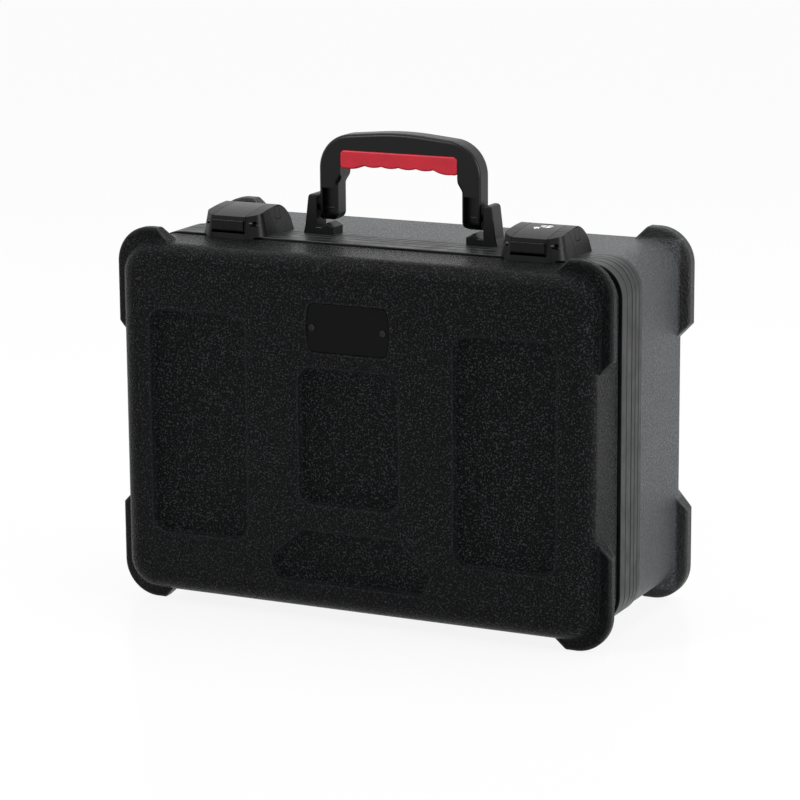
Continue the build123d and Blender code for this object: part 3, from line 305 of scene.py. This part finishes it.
def shell_paint(name, colour, bumper_colour, grain, depth, roughness, specular, glint_gain):
    """Pebbled polyethylene with painted glints on its grain tips; the bumpers have their own colour, with
    painted highlights along their edges.
    """
    paint = Paint(name, roughness, specular=specular)
    out_x = paint.math("SUBTRACT", paint.math("ABSOLUTE", paint.axis(0), 0), CASE_HALF_WIDTH)
    out_z = paint.math("ABSOLUTE", paint.math("SUBTRACT", paint.axis(2), CASE_MIDDLE), 0)
    out_z = paint.math("SUBTRACT", out_z, (CASE_HIGH - CASE_LOW) / 2)
    out = paint.math("MAXIMUM", out_x, out_z)
    bumper = paint.ranged(out, BUMPER_START / 2, BUMPER_START * 2, 0, 1)
    # painted glints: a noise level picks the pebble tips, which get a colour many times lighter in place of
    # lamp glints
    painted_glint = paint.ranged(paint.noise(grain, 1.0), PAINTED_GLINT_FROM, PAINTED_GLINT_FULL, 0, 1)
    edge = paint.edges(SHELL_EDGE)
    glint_colour = tinted(colour, glint_gain)
    skin = paint.blend(painted_glint, varied(paint, colour, SHELL_DRIFT), glint_colour)
    # painted highlight: the shell's rounded edges and recess rims are lightened towards the glint colour
    skin = paint.blend(paint.math("MULTIPLY", edge, SHELL_EDGE_HIGHLIGHT_SHARE), skin, glint_colour)
    wear_and_glints = paint.blend(painted_glint, bumper_colour, tinted(bumper_colour, BUMPER_GLINT_GAIN))
    # painted highlight: the bumpers' rounded edges get a light grey
    bumper_highlighted = paint.blend(edge, wear_and_glints, BUMPER_EDGE_HIGHLIGHT)
    paint.colour(paint.blend(bumper, skin, bumper_highlighted))
    paint.roughness(paint.ranged(paint.noise(grain * 0.6, 3.0), 0.3, 0.7, roughness - 0.07, roughness + 0.09))
    pebble = paint.math("ADD", paint.cells(grain), paint.noise(grain * 1.9, 2.0))
    paint.bump(pebble, depth, 1.0)
    return paint.material


def satin_paint(name, colour, roughness, grain=2600.0, depth=0.00004, specular=0.5):
    """Fine moulded or painted surface."""
    paint = Paint(name, roughness, specular=specular)
    paint.colour(varied(paint, colour, SATIN_DRIFT, 40.0))
    paint.roughness(paint.ranged(paint.noise(grain * 0.3, 3.0), 0.3, 0.7, roughness - 0.05, roughness + 0.07))
    paint.bump(paint.noise(grain, 2.0), depth, 0.6)
    return paint.material


def metal_paint(name, colour, roughness, stretch=(1.0, 1.0, 1.0)):
    """Plain or drawn metal with marks along one direction."""
    paint = Paint(name, roughness, metallic=1.0)
    marks = paint.noise(1500.0, 3.0, paint.stretched(stretch))
    paint.colour(paint.blend(paint.ranged(marks, 0.3, 0.7, 0, 1), tinted(colour, 0.82), tinted(colour, 1.1)))
    paint.roughness(paint.ranged(paint.noise(90.0, 3.0), 0.3, 0.7, roughness - 0.08, roughness + 0.12))
    paint.bump(marks, 0.00002, 0.4)
    return paint.material


def band_paint():
    """Black coated extrusion: faint lengthwise lines, and painted highlights on the rib edges."""
    paint = Paint("band_black", 0.34, specular=0.26)
    lines = paint.noise(1100.0, 2.0, paint.stretched((0.03, 1.0, 0.03)))
    face = paint.blend(paint.ranged(lines, 0.35, 0.65, 0, 1), BAND_DARK, BAND_LIGHT)
    # painted highlight: the rib edges are lightened
    paint.colour(paint.blend(paint.edges(BAND_EDGE), face, BAND_EDGE_HIGHLIGHT))
    paint.roughness(paint.ranged(paint.noise(60.0, 3.0), 0.3, 0.7, 0.3, 0.46))
    paint.bump(lines, 0.00003, 0.5)
    return paint.material


def foam_paint():
    """Open-cell charcoal foam: small pits with painted shade in them, and lighter cell walls."""
    paint = Paint("foam_charcoal", 0.95, specular=0.15, sheen=0.25)
    pits = paint.cells(1050.0)
    walls = paint.ranged(pits, 0.15, 0.6, 0, 1)
    # painted shade: the pit centres get the darker colour, the cell walls the lighter one
    paint.colour(paint.blend(walls, varied(paint, FOAM_DARK, 0.2, 22.0), FOAM_WALL))
    paint.bump(paint.math("ADD", pits, paint.noise(2300.0, 3.0)), 0.0005, 0.9)
    return paint.material


def grip_paint():
    """Soft red moulded grip, a little darker where hands rub it."""
    paint = Paint("grip_red", 0.42, specular=0.45)
    wear_and_glints = paint.ranged(paint.noise(70.0, 4.0), 0.35, 0.7, 0, 1)
    paint.colour(paint.blend(wear_and_glints, GRIP_RED, GRIP_RUBBED))
    paint.roughness(paint.ranged(paint.noise(300.0, 3.0), 0.3, 0.7, 0.36, 0.5))
    paint.bump(paint.noise(1900.0, 2.0), 0.00005, 0.6)
    return paint.material


def make_materials():
    """One material for each slot of the record, and those that differ by node."""
    by_slot = {
        "shell_plastic": shell_paint("lid_pebble", LID_BLACK, BUMPER_BLACK, 640.0, 0.0011, 0.22, 0.06, 26.0),
        "edge_aluminium": band_paint(),
        "seal_rubber": satin_paint("seal_rubber", (0.014, 0.014, 0.014), 0.75, specular=0.3),
        "plate_black": satin_paint("plate_black", (0.0030, 0.0030, 0.0033), 0.34, 3400.0, 0.00003, 0.07),
        "screw_dark": metal_paint("screw_dark", (0.030, 0.030, 0.032), 0.30),
        "rivet_steel": metal_paint("zinc_steel", (0.52, 0.53, 0.55), 0.34),
        "hinge_steel": satin_paint("hinge_black", (0.016, 0.016, 0.017), 0.42, specular=0.55),
        "latch_plastic": satin_paint("latch_satin", (0.0036, 0.0038, 0.0042), 0.30, 2400.0, 0.00006, 0.15),
        "lever_plastic": satin_paint("lever_satin", (0.0028, 0.0030, 0.0034), 0.26, 2800.0, 0.00003, 0.17),
        "cover_gloss": satin_paint("cover_gloss", (0.0008, 0.0008, 0.0009), 0.08, 900.0, 0.000003, 0.16),
        "pin_steel": metal_paint("pin_steel", (0.46, 0.46, 0.47), 0.28, (0.05, 1.0, 1.0)),
        "handle_plastic": satin_paint("handle_nylon", (0.0022, 0.0023, 0.0026), 0.34, 2200.0, 0.00005, 0.22),
        "grip_red": grip_paint(),
        "lock_chrome": metal_paint("lock_chrome", (0.72, 0.72, 0.73), 0.20),
        "foam_grey": foam_paint(),
    }
    dark_pin = metal_paint("pin_black", (0.035, 0.035, 0.037), 0.35, (0.05, 1.0, 1.0))
    base = shell_paint("base_pebble", BASE_GREY, BASE_BUMPER_BLACK, 700.0, 0.0010, 0.40, 0.34, 3.4)
    own = {"base_shell": base}
    for side in ("left", "right"):
        own["lever_pin_" + side] = dark_pin
        own["handle_pin_" + side] = dark_pin
    for name, node in nodes.items():
        node.data.materials.clear()
        node.data.materials.append(own.get(name) or by_slot[slot_of[name]])
    return by_slot


# Foam pieces

FOAM_CORNER = 0.0198
FOAM_GRAIN = 0.00025
OUTLINE_STEP = 0.005
PAD_STEPS = 44
PAD_RIPPLE = 60
WAVE_PITCH = 0.046
# Shares of the rim across and down, from the face to its edge
RIM_PROFILE = ((0.30, 0.05), (0.62, 0.22), (0.87, 0.52), (1.0, 1.0))


def finish_piece(name, mesh_build, body, replaced, paint):
    """Turns a bmesh into a foam piece that rides on a body and stands for a CAD node."""
    bmesh.ops.remove_doubles(mesh_build, verts=mesh_build.verts, dist=1e-6)
    bmesh.ops.recalc_face_normals(mesh_build, faces=mesh_build.faces)
    mesh = bpy.data.meshes.new(name)
    mesh_build.to_mesh(mesh)
    mesh_build.free()
    for polygon in mesh.polygons:
        polygon.use_smooth = True
    mesh.materials.append(paint)
    piece = bpy.data.objects.new(name, mesh)
    bpy.context.scene.collection.objects.link(piece)
    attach(piece, body)
    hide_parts(replaced)


def rounded_outline(half_x, low, high, corner):
    """Points round a rounded rectangle in X and Z, evenly spaced."""
    middle = (low + high) / 2
    half_z = (high - low) / 2
    points = []
    quarter = max(4, int(corner * pi / 2 / OUTLINE_STEP))
    for cx, cz, start in ((1, 1, 0), (-1, 1, 90), (-1, -1, 180), (1, -1, 270)):
        centre = Vector((cx * (half_x - corner), middle + cz * (half_z - corner)))
        turns = [radians(start + 90 * i / quarter) for i in range(quarter + 1)]
        arc = [centre + corner * Vector((cos(turn), sin(turn))) for turn in turns]
        if points:
            points += straight(points[-1], arc[0])
        points += arc
    return points + straight(points[-1], points[0])


def straight(first, last):
    """Points strictly between two points."""
    count = max(1, round((last - first).length / OUTLINE_STEP))
    return [first.lerp(last, i / count) for i in range(1, count)]


def add_ring(build, points, depths):
    return [build.verts.new((p.x, y, p.y)) for p, y in zip(points, depths)]


def bridge(build, first, second):
    """Quads between two rings of the same length."""
    count = len(first)
    for i in range(count):
        j = (i + 1) % count
        build.faces.new((first[i], first[j], second[j], second[i]))


def close_ring(build, middle, y, ring):
    """Triangles from a ring to a point at its middle."""
    hub = build.verts.new((middle.x, y, middle.y))
    for i in range(len(ring)):
        build.faces.new((hub, ring[i], ring[(i + 1) % len(ring)]))


def pad(name, body, replaced, paint, half_x, low, high, corner, back, face, wave, rim):
    """Closed pad whose face is flat, or waves in both directions like an egg crate."""
    outline = rounded_outline(half_x, low, high, corner)
    centre = Vector((0, (low + high) / 2))
    build = bmesh.new()
    toward = 1 if face > back else -1

    def depth(p):
        ripple = noise.noise(Vector((p.x * PAD_RIPPLE, 0, p.y * PAD_RIPPLE))) * FOAM_GRAIN
        crest = 0.5 + 0.25 * (cos(tau * p.x / WAVE_PITCH) + cos(tau * (p.y - centre.y) / WAVE_PITCH))
        return face - toward * (wave * (1 - crest) + FOAM_GRAIN + ripple)

    rings = []
    for i in range(1, PAD_STEPS + 1):
        share = i / PAD_STEPS * (1 - rim / half_x)
        points = [centre + (p - centre) * share for p in outline]
        rings.append(add_ring(build, points, [depth(p) for p in points]))
    for share, drop in RIM_PROFILE:
        inset = 1 - rim / half_x * (1 - share)
        points = [centre + (p - centre) * inset for p in outline]
        rings.append(add_ring(build, points, [depth(p) - toward * rim * drop for p in points]))
    rings.append(add_ring(build, outline, [back] * len(outline)))
    for first, second in zip(rings, rings[1:]):
        bridge(build, first, second)
    close_ring(build, centre, depth(centre), rings[0])
    build.faces.new(rings[-1])
    finish_piece(name, build, body, replaced, paint)


# Drops in the base foam: the same places as in the CAD block
BLOCK_HALF = 0.2100
BLOCK_LOW = 0.0180
BLOCK_HIGH = 0.3070
BLOCK_FRONT = -0.0088
BLOCK_REAR = 0.0956
DROP_PITCH_X = 0.08805
DROP_PITCH_Z = 0.1106
DROP_RADIUS = 0.0222
DROP_FLOOR = 0.0862
COLUMNS = 5
ROWS = 3
LIP = 0.0035
NOTCH_HALF = 0.0925
NOTCH_TOP = 0.3032
NOTCH_END = 0.0176
NOTCH_SLACK = 0.0001
# Levels of the block's sides in Y, from just behind the face to the rear
SIDE_LEVELS = (-0.0066, NOTCH_END, 0.05, BLOCK_REAR)

# Rings of each drop: shares across the face, turns round the lip, shares down and inward
EDGE_STEPS = 14
FACE_SHARES = (0, 0.3, 0.6, 0.85)
LIP_TURNS = (0, 22.5, 45, 67.5, 90)
WALL_SHARES = (0.15, 0.35, 0.55, 0.75, 0.95)
FLOOR_SHARES = (0.92, 0.6, 0.3)
FACE_RIPPLE = 70
WALL_RIPPLE = 60
TURN_RIPPLE = 3


def cell_edges(bounds, at_corner):
    """Loop of points round one drop's share of the face, rounded at the block's corners."""
    x_low, x_high, z_low, z_high = bounds
    corners = [Vector(pair) for pair in ((x_high, z_low), (x_high, z_high), (x_low, z_high), (x_low, z_low))]
    inner = Vector((BLOCK_HALF - FOAM_CORNER, (BLOCK_HIGH - BLOCK_LOW) / 2 - FOAM_CORNER))
    loop = []
    for i in range(4):
        first, last = corners[i], corners[(i + 1) % 4]
        for k in range(EDGE_STEPS):
            p = first.lerp(last, k / EDGE_STEPS)
            reach = Vector((abs(p.x), abs(p.y - CASE_MIDDLE))) - inner
            if at_corner and reach.x > 0 and reach.y > 0:
                reach = reach.normalized() * max(reach.x, reach.y)
                p = Vector(((inner.x + reach.x) * (1 if p.x > 0 else -1),
                            CASE_MIDDLE + (inner.y + reach.y) * (1 if p.y > CASE_MIDDLE else -1)))
            loop.append(p)
    return loop


def drop_rings(build, centre, loop, column):
    """Rings from a drop's share of the face, over its lip and down to its floor."""
    outward = [(p - centre).normalized() for p in loop]
    count = len(loop)
    rings = []

    def level_ring(radii, y):
        points = [centre + d * radius for d, radius in zip(outward, radii)]
        rings.append(add_ring(build, points, [y] * count))

    for share in FACE_SHARES:
        points = [p.lerp(centre + d * (DROP_RADIUS + LIP), share) for p, d in zip(loop, outward)]
        ripples = [noise.noise(Vector((p.x * FACE_RIPPLE, 1, p.y * FACE_RIPPLE))) for p in points]
        rings.append(add_ring(build, points, [BLOCK_FRONT + FOAM_GRAIN * ripple for ripple in ripples]))
    for turn in LIP_TURNS:
        radius = DROP_RADIUS + LIP * (1 - sin(radians(turn)))
        level_ring([radius] * count, BLOCK_FRONT + LIP * (1 - cos(radians(turn))))
    lip_end = BLOCK_FRONT + LIP
    for share in WALL_SHARES:
        y = lip_end + (DROP_FLOOR - lip_end) * share
        ripples = [noise.noise(Vector((d.x * TURN_RIPPLE, y * WALL_RIPPLE, d.y * TURN_RIPPLE + column)))
                   for d in outward]
        level_ring([DROP_RADIUS + FOAM_GRAIN * (1 + ripple) for ripple in ripples], y)
    for share in FLOOR_SHARES:
        level_ring([DROP_RADIUS * share] * count, DROP_FLOOR)
    return rings


def foam_block(paint):
    """Base block with a lipped round drop for each microphone."""
    build = bmesh.new()
    x_lines = [-BLOCK_HALF] + [(c - 1.5) * DROP_PITCH_X for c in range(COLUMNS - 1)] + [BLOCK_HALF]
    z_lines = [BLOCK_LOW, CASE_MIDDLE - DROP_PITCH_Z / 2, CASE_MIDDLE + DROP_PITCH_Z / 2, BLOCK_HIGH]
    for c in range(COLUMNS):
        for r in range(ROWS):
            centre = Vector(((c - 2) * DROP_PITCH_X, CASE_MIDDLE + (r - 1) * DROP_PITCH_Z))
            bounds = (x_lines[c], x_lines[c + 1], z_lines[r], z_lines[r + 1])
            loop = cell_edges(bounds, c in (0, COLUMNS - 1) and r in (0, ROWS - 1))
            rings = drop_rings(build, centre, loop, c)
            for first, second in zip(rings, rings[1:]):
                bridge(build, first, second)
            close_ring(build, centre, DROP_FLOOR, rings[-1])
    bmesh.ops.remove_doubles(build, verts=build.verts, dist=1e-5)
    rim = [edge for edge in build.edges if edge.is_boundary]
    for y in SIDE_LEVELS:
        made = bmesh.ops.extrude_edge_only(build, edges=rim)["geom"]
        for item in made:
            if isinstance(item, bmesh.types.BMVert):
                item.co.y = y
        rim = [item for item in made if isinstance(item, bmesh.types.BMEdge) and item.is_boundary]
    bmesh.ops.holes_fill(build, edges=rim)
    for vert in build.verts:
        if abs(vert.co.x) < NOTCH_HALF and vert.co.y < NOTCH_END + NOTCH_SLACK:
            vert.co.z = min(vert.co.z, NOTCH_TOP)
    finish_piece("base_foam_block", build, "base", "base_foam", paint)


bpy.context.scene.view_settings.view_transform = "Standard"
make_camera()
make_world()
make_floor()
area_light("key", (-1.5, -2.1, 2.3), (0, 0, 0.16), (0.9, 0.9), 42)
area_light("side", (2.6, -0.1, 1.1), (0.1, 0.02, 0.17), (1.3, 1.6), 46)
area_light("top", (0.2, 0.5, 2.6), (0, 0, 0.3), (1.6, 1.2), 34)

paints = make_materials()
pad("lid_foam_pad", "lid", "lid_foam", paints["foam_grey"], half_x=0.2071, low=0.0209, high=0.3041,
    corner=0.0169, back=-0.0977, face=-0.0757, wave=0.0125, rim=0.004)
pad("foam_liner_sheet", "base", "foam_liner", paints["foam_grey"], half_x=0.2036, low=0.0244, high=0.3006,
    corner=0.0134, back=0.1006, face=0.0960, wave=0, rim=0.0015)
foam_block(paints["foam_grey"])
